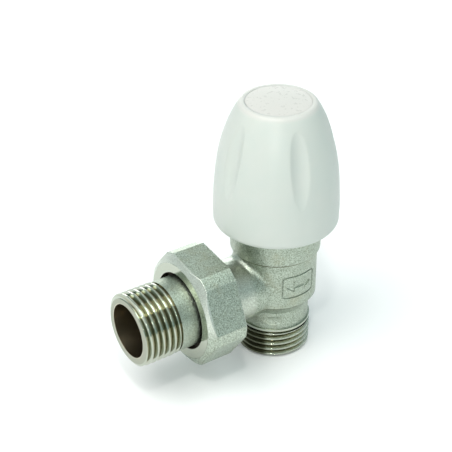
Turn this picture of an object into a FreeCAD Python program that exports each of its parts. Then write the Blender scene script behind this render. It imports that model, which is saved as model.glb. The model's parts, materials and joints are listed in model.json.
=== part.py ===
"""Angle lockshield radiator valve, modelled as separate pieces in millimetres.

Frame: the origin is the centre of the pipe thread's free end. +Z runs up the spindle.
The union and its tailpiece point along -X. Pieces of the union are first drawn along
their own +Z, as distance from the spindle axis, and then laid down onto -X.
"""
import FreeCAD, Part
import math
import os

V = FreeCAD.Vector
FULL_TURN = 360.0
QUARTER_TURN = 90.0
HEX_SIDES = 6
UP = V(0, 0, 1)
CENTRE = V(0, 0, 0)

# ---------------------------------------------------------------- pipe threads
G12_CREST = 10.478
G12_ROOT = 9.316
PIPE_RELIEF_R = 9.25
G34_CREST = 13.22
G34_ROOT = 12.058
G_PITCH = 1.814
CREST_SHARE = 0.25
ROOT_SHARE = 0.22
THREAD_GAP = 0.08
OUTER_OVERSHOOT = 0.3
INNER_OVERSHOOT = 0.08
SEAM_ANGLES = (40.0, 100.0, 160.0, 220.0, 280.0, 10.0, 70.0, 130.0)
LEAST_CUT = 0.4
MOST_CUT = 1.2
CUT_OVER = 0.4

# ---------------------------------------------------------------- body levels
AXIS_HEIGHT = 22.45
PIPE_THREAD_TOP = 8.4
PIPE_LAND_BOTTOM = 9.1
PIPE_LAND_TOP = 9.8
PIPE_THREAD_ANCHOR = 0.7
LEAD_IN_RADIAL = 0.85
LEAD_IN_HEIGHT = 0.45
NECK_R = 10.02
NECK_GROOVE_LOW = 12.8
NECK_GROOVE_HIGH = 15.3
NECK_GROOVE_R = 9.85
DENT_DEPTH = 0.42
DENT_CUTTER_R = 2.8
DENT_CUTTER_LENGTH = 7.0
DENT_Z = 12.75
DENT_ANGLE = -36.0
SKIRT_INNER_R = 11.6
SKIRT_INNER_Z = 17.9
SKIRT_Z = 18.35
BARREL_R = 12.05
COLLAR_FOOT_Z = 32.9
COLLAR_EDGE_Z = 33.5
COLLAR_R = 12.9
COLLAR_TAPER_Z = 35.5
COLLAR_TOP_R = 12.7
BODY_TOP = 40.6

# ---------------------------------------------------------------- body waterways
PIPE_BORE_R = 7.2
PIPE_BORE_TOP = 11.2
SEAT_BORE_R = 4.8
SEAT_BORE_BOTTOM = 13.2
SEAT_TOP = 18.0
SEAT_LAND_R = 5.7
SEAT_FOOT_R = 6.3
CHAMBER_R = 9.15
CHAMBER_FLOOR = 16.5
CHAMBER_FLOOR_R = 7.7
CHAMBER_WALL_Z = 18.0
MOUTH_R = 11.6
MOUTH_Z = 38.9

# ---------------------------------------------------------------- branch
BRANCH_R = 9.2
BRANCH_BORE_R = 7.2
BRANCH_BORE_START = 7.6
BRANCH_BOSS_START = 21.9
BRANCH_END = 28.2
BRANCH_FILLET = 1.8
SPIGOT_SOCKET_R = 10.3
SPIGOT_SOCKET_START = 24.4

# ---------------------------------------------------------------- panel on the barrel
PANEL_WIDTH = 10.8
PANEL_LOW = 21.6
PANEL_HIGH = 29.0
PANEL_LINE_WIDTH = 0.4
PANEL_LINE_DEPTH = 0.25
PANEL_CORNER_R = 1.4
ARROW_SHAFT = 1.1
ARROW_HEAD_WIDTH = 3.6
ARROW_HEAD_LENGTH = 2.4
ARROW_LENGTH = 8.2

# ---------------------------------------------------------------- headwork
M20_CREST = 9.93
M20_ROOT = 9.13
FINE_PITCH = 1.5
HEAD_SKIRT_R = 8.9
HEAD_SKIRT_BOTTOM = 28.6
HEAD_THREAD_BOTTOM = 33.9
HEAD_THREAD_TOP = 38.4
HEAD_NECK_R = 9.0
HEAD_HEX_FLATS = 22.0
HEAD_HEX_BOTTOM = 40.7
HEAD_HEX_TOP = 46.2
HEAD_HEX_CHAMFER_R = 11.0
HEX_CHAMFER_ANGLE = 30.0
HEAD_SHANK_R = 9.6
HEAD_TOP = 54.0
CLIP_GROOVE_R = 8.8
CLIP_GROOVE_LOW = 48.9
CLIP_GROOVE_HIGH = 52.1
PLUNGER_BORE_R = 5.96
SPINDLE_THREAD_LOW = 35.6
SPINDLE_THREAD_HIGH = 44.4
SPINDLE_PASS_R = 4.06
GLAND_CHAMBER_LOW = 46.6
GLAND_CHAMBER_R = 6.1
GLAND_THREAD_LOW = 48.6

# ---------------------------------------------------------------- spindle
SPINDLE_CREST = 4.95
SPINDLE_ROOT = 4.05
SPINDLE_R = 4.0
SPINDLE_THREAD_FROM = 33.95
SPINDLE_THREAD_TO = 42.8
SPINDLE_COLLAR_R = 4.6
SPINDLE_COLLAR_BOTTOM = 33.2
SPINDLE_STUB_R = 3.2
SPINDLE_STUB_BOTTOM = 25.5
SPINDLE_TOP = 59.0
SPINDLE_EDGE = 0.4
KEY_FLATS = 5.0
KEY_DEPTH = 6.0

# ---------------------------------------------------------------- shutter group
DISC_R = 5.9
DISC_BOTTOM = 19.55
DISC_TOP = 21.95
DISC_HOLE_R = 1.75
PLUNGER_CUP_R = 6.9
PLUNGER_CUP_BOTTOM = 19.95
PLUNGER_CUP_TOP = 24.0
PLUNGER_STEM_R = 5.9
PLUNGER_TOP = 32.6
PLUNGER_SOCKET_R = 3.26
PLUNGER_SOCKET_BOTTOM = 25.3
SWIVEL_GROOVE_R = 2.4
SWIVEL_POCKET_R = 4.0
SWIVEL_LOW = 29.3
SWIVEL_HIGH = 30.5
SWIVEL_CLIP_IN_R = 2.5
SWIVEL_CLIP_OUT_R = 3.9
SWIVEL_CLIP_GAP = 2.4
SWIVEL_CLIP_PLAY = 0.1
PLATE_R = 3.4
PLATE_BOTTOM = 19.05
PLATE_TOP = 19.5
SCREW_R = 1.6
SCREW_HEAD_R = 2.6
SCREW_HEAD_BOTTOM = 17.6
SCREW_TIP = 24.4
SCREW_HOLE_R = 1.66
SCREW_HOLE_TOP = 24.6
SCREW_SLOT_WIDTH = 0.8
SCREW_SLOT_DEPTH = 0.7
THRUST_IN_R = 3.3
THRUST_OUT_R = 5.4
THRUST_BOTTOM = 32.65
THRUST_TOP = 33.15
FIT_GAP = 0.05

# ---------------------------------------------------------------- gland
M14_CREST = 6.93
M14_ROOT = 6.35
GLAND_PITCH = 1.0
GLAND_NUT_BOTTOM = 49.0
GLAND_THREAD_TOP = 53.4
GLAND_RELIEF_R = 6.25
GLAND_HEX_FLATS = 15.0
GLAND_HEX_BOTTOM = 54.05
GLAND_HEX_TOP = 57.0
GLAND_RING_GROOVE_R = 5.95
GLAND_RING_LOW = 50.8
GLAND_RING_HIGH = 52.9
GLAND_WASHER_BOTTOM = 46.65
GLAND_WASHER_TOP = 47.05
RING_SECTION_R = 0.9
RING_MIDDLE_R = 5.0
LOWER_RING_Z = 48.0
UPPER_RING_Z = 51.85
HEAD_RING_SECTION_R = 0.75
HEAD_RING_MIDDLE_R = 10.8
HEAD_RING_Z = 39.75

# ---------------------------------------------------------------- cap
CAP_RIM_Z = 41.84
CAP_RIM_R = 16.4
CAP_ROUND = 1.3
CAP_SIDE = [(17.7, 43.14), (17.74, 47.0), (17.52, 52.0), (17.15, 57.0), (16.5, 62.0),
            (15.42, 67.0), (14.1, 71.0), (12.62, 74.5), (10.6, 78.0)]
CAP_TOP_EDGE_R = 10.15
CAP_TOP_Z = 78.3
CAP_WALL = 2.2
CAP_INNER_TOP_Z = 75.2
CAP_MOUTH_R = 15.1
DISC_POCKET_R = 9.05
DISC_POCKET_FLOOR = 77.0
TOP_DISC_R = 9.02
TOP_DISC_RISE = 0.25
TOP_DISC_EDGE = 0.1
FLUTE_COUNT = 5
FLUTE_FIRST_ANGLE = -103.5
FLUTE_LOW = (17.46, 53.3)
FLUTE_HIGH = (12.3, 75.2)
FLUTE_R = 4.3
FLUTE_RUN_OUT = 9.0
SLEEVE_IN_R = 11.06
SLEEVE_OUT_R = 12.6
SLEEVE_BOTTOM = 47.0
SLEEVE_TOP = 56.0
SLEEVE_STEP_R = 10.2
RIB_COUNT = 6
RIB_THICKNESS = 1.4
RIB_REACH = 15.9
CLIP_IN_R = 8.88
CLIP_OUT_R = 11.0
CLIP_BOTTOM = 49.0
CLIP_TOP = 52.0
CLIP_GAP = 3.0

# ---------------------------------------------------------------- union, along its own axis
NUT_BACK = 21.3
NUT_FRONT = 32.5
NUT_FLATS = 30.5
NUT_CORNER_R = 16.6
NUT_FACE_R = 14.1
NUT_CHAMFER_DROP = 1.55
NUT_TILT = -5.9
NUT_HOLE_R = 11.25
NUT_LIP_START = 30.45
NUT_RELIEF_START = 28.7
NUT_MOUTH_CHAMFER = 0.8
NUT_RELIEF_DEPTH = 0.25
TAIL_NOSE = 24.6
TAIL_SPIGOT_R = 10.2
TAIL_COLLAR_START = 28.25
TAIL_COLLAR_END = 30.4
TAIL_COLLAR_R = 11.9
TAIL_TUBE_R = 10.25
TAIL_THREAD_START = 38.6
TAIL_RELIEF_START = 37.8
TAIL_END = 49.2
TAIL_BORE_R = 7.8
TAIL_RING_LOW = 25.5
TAIL_RING_HIGH = 27.3
TAIL_RING_GROOVE_R = 8.75
TAIL_RING_SECTION_R = 0.72
TAIL_RING_MIDDLE_R = 9.5
LUG_COUNT = 2
LUG_WIDTH = 3.0
LUG_INNER_R = 6.6
LUG_FROM = 33.0
LUG_TO = 41.0


# ---------------------------------------------------------------- helpers
def outline_face(start, steps):
    """Closed face in the XZ plane. A step is a point, or (through, end) for an arc."""
    edges = []
    last = start
    for step in list(steps) + [start]:
        if isinstance(step[0], tuple):
            through, end = step
            arc = Part.Arc(V(last[0], 0, last[1]), V(through[0], 0, through[1]), V(end[0], 0, end[1]))
            edges.append(arc.toShape())
        else:
            end = step
            edges.append(Part.LineSegment(V(last[0], 0, last[1]), V(end[0], 0, end[1])).toShape())
        last = end
    return Part.Face(Part.Wire(edges))


def turned(start, steps):
    """Solid of revolution about +Z of an outline given as (radius, height)."""
    return outline_face(start, steps).revolve(CENTRE, UP, FULL_TURN)


def rod(radius, low, high):
    """Solid cylinder on the Z axis."""
    return Part.makeCylinder(radius, high - low, V(0, 0, low))


def tube(outer, inner, low, high):
    """Hollow cylinder on the Z axis."""
    return rod(outer, low, high).cut(rod(inner, low, high))


def ring(middle, section, height):
    """Round seal ring about the Z axis."""
    return Part.makeTorus(middle, section, V(0, 0, height))


def corner_radius(flats):
    """Distance from a hexagon's centre to its corners."""
    return flats / 2 / math.cos(math.pi / HEX_SIDES)


def hexagon(flats, low, high):
    """Hexagonal prism on the Z axis with two corners on the Y axis."""
    corner = corner_radius(flats)
    points = []
    for side in range(HEX_SIDES):
        angle = math.radians(side * FULL_TURN / HEX_SIDES + QUARTER_TURN)
        points.append(V(corner * math.cos(angle), corner * math.sin(angle), low))
    return Part.Face(Part.makePolygon(points + points[:1])).extrude(V(0, 0, high - low))


def split_box(gap, reach, low, high):
    """Box that opens a ring on the +X side by the given gap."""
    return Part.makeBox(reach, gap, high - low, V(0, -gap / 2, low))


def turned_about_z(shape, angle):
    """Copy of a shape turned about the Z axis."""
    copy = shape.copy()
    copy.rotate(CENTRE, UP, angle)
    return copy


def laid_down(shape):
    """Turn a piece drawn along +Z onto -X, at the height of the branch."""
    copy = shape.copy()
    copy.rotate(CENTRE, V(0, 1, 0), -QUARTER_TURN)
    copy.translate(V(0, 0, AXIS_HEIGHT))
    return copy


def helical_cutter(near, far, pitch, low, high, anchor, seam):
    """Trapezoid, given as (radius, width) at two radii, swept on an exact helix.

    The groove crosses the XZ plane at the anchor height. The seam angle says where its
    turns are joined, and doesn't change its shape.
    """
    profile = [V(near[0], 0, -near[1] / 2), V(far[0], 0, -far[1] / 2),
               V(far[0], 0, far[1] / 2), V(near[0], 0, near[1] / 2)]
    start = anchor - math.ceil((anchor - low) / pitch) * pitch
    turns = []
    for turn in range(math.ceil((high - start) / pitch)):
        helix = Part.makeHelix(pitch, pitch, near[0])
        helix.translate(V(0, 0, turn * pitch))
        turns.extend(helix.Edges)
    sweep = Part.BRepOffsetAPI.MakePipeShell(Part.Wire(turns))
    sweep.setBiNormalMode(UP)
    sweep.add(Part.makePolygon(profile + profile[:1]))
    sweep.build()
    sweep.makeSolid()
    cutter = sweep.shape()
    cutter.rotate(CENTRE, UP, seam)
    cutter.translate(V(0, 0, start + pitch * seam / FULL_TURN))
    return cutter


def cut_helix(shape, near, far, pitch, span, anchor):
    """Cut a helical groove, trying other seam angles when the kernel drops the cut."""
    low, high = span
    depth = abs(far[0] - near[0])
    section = depth * (near[1] + far[1]) / 2
    length = math.pi * (near[0] + far[0]) * (high - low) / pitch
    for seam in SEAM_ANGLES:
        cutter = helical_cutter(near, far, pitch, low, high, anchor, seam)
        result = shape.cut(cutter)
        removed = shape.Volume - result.Volume
        cut_made = LEAST_CUT * section * length < removed < section * length * MOST_CUT
        if result.isValid() and len(result.Solids) == 1 and cut_made:
            return result
    raise RuntimeError("no seam angle gave a sound thread")


def flank_slope(crest, root, pitch):
    """Change of groove width per millimetre of radius."""
    return pitch * (1 - CREST_SHARE - ROOT_SHARE) / (crest - root)


def with_outer_thread(shape, crest, root, pitch, span, anchor=0.0):
    """Cut an outer thread's groove into a rod of the crest radius."""
    floor = ROOT_SHARE * pitch
    reach = crest - root + OUTER_OVERSHOOT
    mouth = floor + flank_slope(crest, root, pitch) * reach
    return cut_helix(shape, (root, floor), (root + reach, mouth), pitch, span, anchor)


def with_inner_thread(shape, crest, root, pitch, span, anchor=0.0):
    """Cut an inner thread's groove, a gap wider all round than the matching outer thread."""
    slope = flank_slope(crest, root, pitch)
    crest_width = CREST_SHARE * pitch + 2 * THREAD_GAP
    deep_r = crest + THREAD_GAP
    mouth_r = root + THREAD_GAP - INNER_OVERSHOOT
    deep = (deep_r, crest_width - slope * THREAD_GAP)
    mouth = (mouth_r, crest_width + slope * (crest - mouth_r))
    return cut_helix(shape, deep, mouth, pitch, span, anchor + pitch / 2)


# ---------------------------------------------------------------- body
def pipe_end():
    """Threaded pipe end, up to the relief under its land."""
    end = turned((0, 0), [
        (G12_CREST - LEAD_IN_RADIAL, 0), (G12_CREST, LEAD_IN_HEIGHT),
        (G12_CREST, PIPE_THREAD_TOP), (0, PIPE_THREAD_TOP)])
    return with_outer_thread(end, G12_CREST, G12_ROOT, G_PITCH, (-G_PITCH, PIPE_THREAD_TOP),
                             PIPE_THREAD_ANCHOR)


def body_outside():
    """Outer shape of relief, land, neck, barrel and collar, as one turned solid."""
    groove_middle = (NECK_GROOVE_R, (NECK_GROOVE_LOW + NECK_GROOVE_HIGH) / 2)
    collar_mouth = (HEAD_RING_MIDDLE_R, BODY_TOP)
    return turned((0, PIPE_THREAD_TOP), [
        (PIPE_RELIEF_R, PIPE_THREAD_TOP),
        (PIPE_RELIEF_R, PIPE_LAND_BOTTOM), (G12_CREST, PIPE_LAND_BOTTOM),
        (G12_CREST, PIPE_LAND_TOP), (NECK_R, PIPE_LAND_TOP), (NECK_R, NECK_GROOVE_LOW),
        (groove_middle, (NECK_R, NECK_GROOVE_HIGH)),
        (SKIRT_INNER_R, SKIRT_INNER_Z), (BARREL_R, SKIRT_Z), (BARREL_R, COLLAR_FOOT_Z),
        (COLLAR_R, COLLAR_EDGE_Z), (COLLAR_R, COLLAR_TAPER_Z), (COLLAR_TOP_R, BODY_TOP),
        collar_mouth, (0, BODY_TOP)])


def branch_outside():
    """Round branch with its threaded boss, drawn along +Z."""
    neck = rod(BRANCH_R, 0, BRANCH_BOSS_START + FIT_GAP)
    boss = turned((0, BRANCH_BOSS_START), [
        (G34_ROOT, BRANCH_BOSS_START), (G34_CREST, BRANCH_BOSS_START + G34_CREST - G34_ROOT),
        (G34_CREST, BRANCH_END - NUT_MOUTH_CHAMFER), (G34_CREST - NUT_MOUTH_CHAMFER, BRANCH_END),
        (0, BRANCH_END)])
    boss = with_outer_thread(boss, G34_CREST, G34_ROOT, G_PITCH,
                             (BRANCH_BOSS_START - G_PITCH, BRANCH_END))
    return neck, boss


def under_skirt():
    """Space below the barrel's lower edge, round the neck."""
    reach = BARREL_R + 2 * BRANCH_FILLET
    return turned((SKIRT_INNER_R, SKIRT_INNER_Z), [
        (NECK_R, NECK_GROOVE_HIGH), (NECK_R, PIPE_LAND_TOP), (reach, PIPE_LAND_TOP),
        (reach, SKIRT_Z), (BARREL_R, SKIRT_Z)])


def blended_branch(neck):
    """Barrel and branch with the line between them rounded, open below the barrel."""
    shape = rod(BARREL_R, PIPE_LAND_TOP - BRANCH_FILLET, COLLAR_TAPER_Z).fuse(neck)
    meeting = []
    for edge in shape.Edges:
        middle = edge.valueAt((edge.FirstParameter + edge.LastParameter) / 2)
        on_barrel = abs(math.hypot(middle.x, middle.y) - BARREL_R) < FIT_GAP
        on_branch = abs(math.hypot(middle.y, middle.z - AXIS_HEIGHT) - BRANCH_R) < FIT_GAP
        if on_barrel and on_branch:
            meeting.append(edge)
    shape = shape.makeFillet(BRANCH_FILLET, meeting)
    shape = shape.cut(rod(2 * BARREL_R, 0, PIPE_LAND_TOP))
    return shape.cut(under_skirt().cut(neck))


def pipe_bore():
    """Bore from the pipe end up to and through the seat."""
    return turned((0, -CUT_OVER), [
        (PIPE_BORE_R, -CUT_OVER), (PIPE_BORE_R, PIPE_BORE_TOP),
        (SEAT_BORE_R, SEAT_BORE_BOTTOM), (SEAT_BORE_R, SEAT_TOP + CUT_OVER),
        (0, SEAT_TOP + CUT_OVER)])


def chamber():
    """Turned space round the seat, up to the headwork thread and the mouth."""
    thread_bore = M20_ROOT + THREAD_GAP
    return turned((0, SEAT_TOP), [
        (SEAT_LAND_R, SEAT_TOP), (SEAT_FOOT_R, CHAMBER_FLOOR), (CHAMBER_FLOOR_R, CHAMBER_FLOOR),
        (CHAMBER_R, CHAMBER_WALL_Z), (CHAMBER_R, COLLAR_FOOT_Z), (thread_bore, COLLAR_EDGE_Z),
        (thread_bore, MOUTH_Z), (MOUTH_R, MOUTH_Z), (MOUTH_R, BODY_TOP + CUT_OVER),
        (0, BODY_TOP + CUT_OVER)])


def flow_arrow(depth):
    """Two-headed arrow in the XZ plane, extruded towards +Y."""
    half = ARROW_LENGTH / 2
    neck = half - ARROW_HEAD_LENGTH
    wide = ARROW_HEAD_WIDTH / 2
    thin = ARROW_SHAFT / 2
    right = [(neck, -thin), (neck, -wide), (half, 0), (neck, wide), (neck, thin)]
    left = [(-x, -z) for x, z in right]
    points = [V(x, 0, z) for x, z in right + left]
    return Part.Face(Part.makePolygon(points + points[:1])).extrude(V(0, depth, 0))


def panel_block(inset):
    """Block with rounded corners over the panel, its sides moved in by the inset."""
    corner = V(-PANEL_WIDTH / 2 + inset, -BARREL_R - CUT_OVER, PANEL_LOW + inset)
    block = Part.makeBox(PANEL_WIDTH - 2 * inset, BARREL_R,
                         PANEL_HIGH - PANEL_LOW - 2 * inset, corner)
    along_y = [edge for edge in block.Edges if abs(edge.tangentAt(0).y) > FIT_GAP]
    return block.makeFillet(PANEL_CORNER_R - inset, along_y)


def panel_engraving():
    """Engraved line round the panel on the barrel's -Y side, and the arrow inside it."""
    skin = tube(BARREL_R + CUT_OVER, BARREL_R - PANEL_LINE_DEPTH, PANEL_LOW, PANEL_HIGH)
    line = panel_block(0).cut(panel_block(PANEL_LINE_WIDTH))
    arrow = flow_arrow(BARREL_R)
    arrow.translate(V(0, -BARREL_R - CUT_OVER, (PANEL_LOW + PANEL_HIGH) / 2))
    return skin.common(line.fuse(arrow))


def neck_dent():
    """Shallow eye-shaped dent in the front of the neck."""
    reach = NECK_R - DENT_DEPTH + DENT_CUTTER_R
    start = V(-DENT_CUTTER_LENGTH / 2, -reach, DENT_Z)
    cutter = Part.makeCylinder(DENT_CUTTER_R, DENT_CUTTER_LENGTH, start, V(1, 0, 0))
    return turned_about_z(cutter, DENT_ANGLE)


def body_forging():
    """Valve body: pipe thread, barrel, collar, branch, seat and all waterways."""
    neck, boss = branch_outside()
    shape = body_outside().fuse(blended_branch(laid_down(neck)))
    shape = shape.cut(panel_engraving()).cut(neck_dent())
    shape = shape.fuse([laid_down(boss), pipe_end()])
    outlet = rod(BRANCH_BORE_R, BRANCH_BORE_START, BRANCH_END + CUT_OVER)
    socket = rod(SPIGOT_SOCKET_R, SPIGOT_SOCKET_START, BRANCH_END + CUT_OVER)
    shape = shape.cut(laid_down(outlet.fuse(socket)))
    shape = shape.cut(pipe_bore())
    shape = shape.cut(chamber())
    return with_inner_thread(shape, M20_CREST, M20_ROOT, FINE_PITCH, (COLLAR_EDGE_Z, MOUTH_Z))


# ---------------------------------------------------------------- headwork
def headwork():
    """Brass headwork: skirt, body thread, hexagon and shank, bored for the spindle."""
    outside = turned((0, HEAD_SKIRT_BOTTOM), [
        (HEAD_SKIRT_R, HEAD_SKIRT_BOTTOM), (HEAD_SKIRT_R, HEAD_THREAD_BOTTOM),
        (M20_CREST, HEAD_THREAD_BOTTOM + M20_CREST - HEAD_SKIRT_R), (M20_CREST, HEAD_THREAD_TOP),
        (HEAD_NECK_R, HEAD_THREAD_TOP), (HEAD_NECK_R, HEAD_HEX_BOTTOM), (0, HEAD_HEX_BOTTOM)])
    outside = with_outer_thread(outside, M20_CREST, M20_ROOT, FINE_PITCH,
                                (HEAD_THREAD_BOTTOM, HEAD_THREAD_TOP))
    shank = turned((0, HEAD_HEX_TOP), [
        (HEAD_SHANK_R, HEAD_HEX_TOP), (HEAD_SHANK_R, CLIP_GROOVE_LOW),
        (CLIP_GROOVE_R, CLIP_GROOVE_LOW), (CLIP_GROOVE_R, CLIP_GROOVE_HIGH),
        (HEAD_SHANK_R, CLIP_GROOVE_HIGH), (HEAD_SHANK_R, HEAD_TOP - SPINDLE_EDGE),
        (HEAD_SHANK_R - SPINDLE_EDGE, HEAD_TOP), (0, HEAD_TOP)])
    nut = chamfered_hexagon(HEAD_HEX_FLATS, HEAD_HEX_BOTTOM, HEAD_HEX_TOP, HEAD_HEX_CHAMFER_R)
    solid = outside.fuse([nut, shank])
    bore = turned((0, HEAD_SKIRT_BOTTOM - CUT_OVER), [
        (PLUNGER_BORE_R, HEAD_SKIRT_BOTTOM - CUT_OVER), (PLUNGER_BORE_R, SPINDLE_THREAD_LOW),
        (SPINDLE_ROOT + THREAD_GAP, SPINDLE_THREAD_LOW),
        (SPINDLE_ROOT + THREAD_GAP, SPINDLE_THREAD_HIGH),
        (SPINDLE_PASS_R, SPINDLE_THREAD_HIGH), (SPINDLE_PASS_R, GLAND_CHAMBER_LOW),
        (GLAND_CHAMBER_R, GLAND_CHAMBER_LOW), (GLAND_CHAMBER_R, GLAND_THREAD_LOW),
        (M14_ROOT + THREAD_GAP, GLAND_THREAD_LOW), (M14_ROOT + THREAD_GAP, HEAD_TOP + CUT_OVER),
        (0, HEAD_TOP + CUT_OVER)])
    solid = solid.cut(bore)
    solid = with_inner_thread(solid, SPINDLE_CREST, SPINDLE_ROOT, FINE_PITCH,
                              (SPINDLE_THREAD_LOW - FINE_PITCH, SPINDLE_THREAD_HIGH))
    return with_inner_thread(solid, M14_CREST, M14_ROOT, GLAND_PITCH,
                             (GLAND_THREAD_LOW - GLAND_PITCH, HEAD_TOP))


def chamfered_hexagon(flats, low, high, face_r):
    """Hexagon whose upper corners are turned back to a face circle at 30 degrees."""
    corner = corner_radius(flats)
    drop = (corner - face_r) * math.tan(math.radians(HEX_CHAMFER_ANGLE))
    envelope = turned((0, low), [(corner, low), (corner, high - drop), (face_r, high), (0, high)])
    return hexagon(flats, low, high).common(envelope)


def gland_nut():
    """Threaded gland nut with an inner groove for the upper spindle seal."""
    threaded = rod(M14_CREST, GLAND_NUT_BOTTOM, GLAND_THREAD_TOP)
    threaded = with_outer_thread(threaded, M14_CREST, M14_ROOT, GLAND_PITCH,
                                 (GLAND_NUT_BOTTOM - GLAND_PITCH, GLAND_THREAD_TOP))
    relief = rod(GLAND_RELIEF_R, GLAND_THREAD_TOP, GLAND_HEX_BOTTOM)
    head = chamfered_hexagon(GLAND_HEX_FLATS, GLAND_HEX_BOTTOM, GLAND_HEX_TOP, M14_CREST)
    solid = threaded.fuse([relief, head])
    solid = solid.cut(rod(SPINDLE_PASS_R, GLAND_NUT_BOTTOM - CUT_OVER, GLAND_HEX_TOP + CUT_OVER))
    return solid.cut(rod(GLAND_RING_GROOVE_R, GLAND_RING_LOW, GLAND_RING_HIGH))


def headwork_oring():
    """Seal ring between headwork and body."""
    return ring(HEAD_RING_MIDDLE_R, HEAD_RING_SECTION_R, HEAD_RING_Z)


def spindle_oring_lower():
    """Spindle seal ring above the gland washer."""
    return ring(RING_MIDDLE_R, RING_SECTION_R, LOWER_RING_Z)


def spindle_oring_upper():
    """Spindle seal ring in the gland nut's groove."""
    return ring(RING_MIDDLE_R, RING_SECTION_R, UPPER_RING_Z)


def gland_washer():
    """Flat washer under the lower spindle seal."""
    return tube(GLAND_CHAMBER_R - FIT_GAP, SPINDLE_PASS_R, GLAND_WASHER_BOTTOM, GLAND_WASHER_TOP)


# ---------------------------------------------------------------- spindle and shutter
def spindle():
    """Threaded spindle with a hexagon key socket on top and a swivel stub below."""
    solid = turned((0, SPINDLE_STUB_BOTTOM), [
        (SPINDLE_STUB_R, SPINDLE_STUB_BOTTOM), (SPINDLE_STUB_R, SWIVEL_LOW),
        (SWIVEL_GROOVE_R, SWIVEL_LOW), (SWIVEL_GROOVE_R, SWIVEL_HIGH),
        (SPINDLE_STUB_R, SWIVEL_HIGH), (SPINDLE_STUB_R, SPINDLE_COLLAR_BOTTOM),
        (SPINDLE_COLLAR_R, SPINDLE_COLLAR_BOTTOM), (SPINDLE_COLLAR_R, SPINDLE_THREAD_FROM),
        (SPINDLE_R, SPINDLE_THREAD_FROM),
        (SPINDLE_R, SPINDLE_TOP - SPINDLE_EDGE), (SPINDLE_R - SPINDLE_EDGE, SPINDLE_TOP),
        (0, SPINDLE_TOP)])
    threaded = turned((0, SPINDLE_THREAD_FROM), [
        (SPINDLE_COLLAR_R, SPINDLE_THREAD_FROM),
        (SPINDLE_CREST, SPINDLE_THREAD_FROM + SPINDLE_CREST - SPINDLE_COLLAR_R),
        (SPINDLE_CREST, SPINDLE_THREAD_TO), (0, SPINDLE_THREAD_TO)])
    threaded = with_outer_thread(threaded, SPINDLE_CREST, SPINDLE_ROOT, FINE_PITCH,
                                 (SPINDLE_THREAD_FROM - FINE_PITCH, SPINDLE_THREAD_TO))
    solid = solid.fuse(threaded)
    return solid.cut(hexagon(KEY_FLATS, SPINDLE_TOP - KEY_DEPTH, SPINDLE_TOP + CUT_OVER))


def shutter():
    """Plunger that carries the seat washer, with a socket for the spindle stub."""
    solid = rod(PLUNGER_CUP_R, PLUNGER_CUP_BOTTOM, PLUNGER_CUP_TOP)
    solid = solid.fuse(rod(PLUNGER_STEM_R, PLUNGER_CUP_TOP, PLUNGER_TOP))
    solid = solid.cut(rod(DISC_R + FIT_GAP, PLUNGER_CUP_BOTTOM - CUT_OVER, DISC_TOP + FIT_GAP))
    solid = solid.cut(rod(SCREW_HOLE_R, DISC_TOP, SCREW_HOLE_TOP))
    solid = solid.cut(rod(PLUNGER_SOCKET_R, PLUNGER_SOCKET_BOTTOM, PLUNGER_TOP + CUT_OVER))
    return solid.cut(rod(SWIVEL_POCKET_R, SWIVEL_LOW, SWIVEL_HIGH))


def seat_washer():
    """Rubber disc that closes the seat."""
    return tube(DISC_R, DISC_HOLE_R, DISC_BOTTOM, DISC_TOP)


def seat_plate():
    """Plate that clamps the seat washer."""
    return tube(PLATE_R, DISC_HOLE_R, PLATE_BOTTOM, PLATE_TOP)


def seat_screw():
    """Slotted screw through plate and washer into the shutter."""
    solid = rod(SCREW_HEAD_R, SCREW_HEAD_BOTTOM, PLATE_BOTTOM - FIT_GAP)
    solid = solid.fuse(rod(SCREW_R, PLATE_BOTTOM - FIT_GAP, SCREW_TIP))
    slot = Part.makeBox(2 * SCREW_HEAD_R, SCREW_SLOT_WIDTH, SCREW_SLOT_DEPTH,
                        V(-SCREW_HEAD_R, -SCREW_SLOT_WIDTH / 2, SCREW_HEAD_BOTTOM))
    return solid.cut(slot)


def swivel_clip():
    """Split wire clip that lets the spindle turn in the shutter but not leave it."""
    low = SWIVEL_LOW + SWIVEL_CLIP_PLAY
    high = SWIVEL_HIGH - SWIVEL_CLIP_PLAY
    clip = tube(SWIVEL_CLIP_OUT_R, SWIVEL_CLIP_IN_R, low, high)
    return clip.cut(split_box(SWIVEL_CLIP_GAP, SWIVEL_CLIP_OUT_R, low, high))


def thrust_washer():
    """Low-friction washer between spindle collar and shutter."""
    return tube(THRUST_OUT_R, THRUST_IN_R, THRUST_BOTTOM, THRUST_TOP)


# ---------------------------------------------------------------- cap
def cap_curve(inset):
    """Side curve of the cap, moved inwards by the given wall."""
    curve = Part.BSplineCurve()
    points = [V(r - inset, 0, z) for r, z in CAP_SIDE]
    curve.interpolate(points)
    return curve.toShape(), points[0], points[-1]


def cap_outside():
    """Solid outer shape of the cap with its rounded lower edge."""
    side, low, high = cap_curve(0)
    lean = CAP_ROUND * math.cos(math.radians(QUARTER_TURN / 2))
    round_through = V(CAP_RIM_R + lean, 0, CAP_RIM_Z + CAP_ROUND - lean)
    edges = [Part.LineSegment(V(0, 0, CAP_RIM_Z), V(CAP_RIM_R, 0, CAP_RIM_Z)).toShape(),
             Part.Arc(V(CAP_RIM_R, 0, CAP_RIM_Z), round_through, low).toShape(),
             side,
             Part.LineSegment(high, V(CAP_TOP_EDGE_R, 0, CAP_TOP_Z)).toShape(),
             Part.LineSegment(V(CAP_TOP_EDGE_R, 0, CAP_TOP_Z), V(0, 0, CAP_TOP_Z)).toShape(),
             Part.LineSegment(V(0, 0, CAP_TOP_Z), V(0, 0, CAP_RIM_Z)).toShape()]
    return Part.Face(Part.Wire(edges)).revolve(CENTRE, UP, FULL_TURN)


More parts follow.
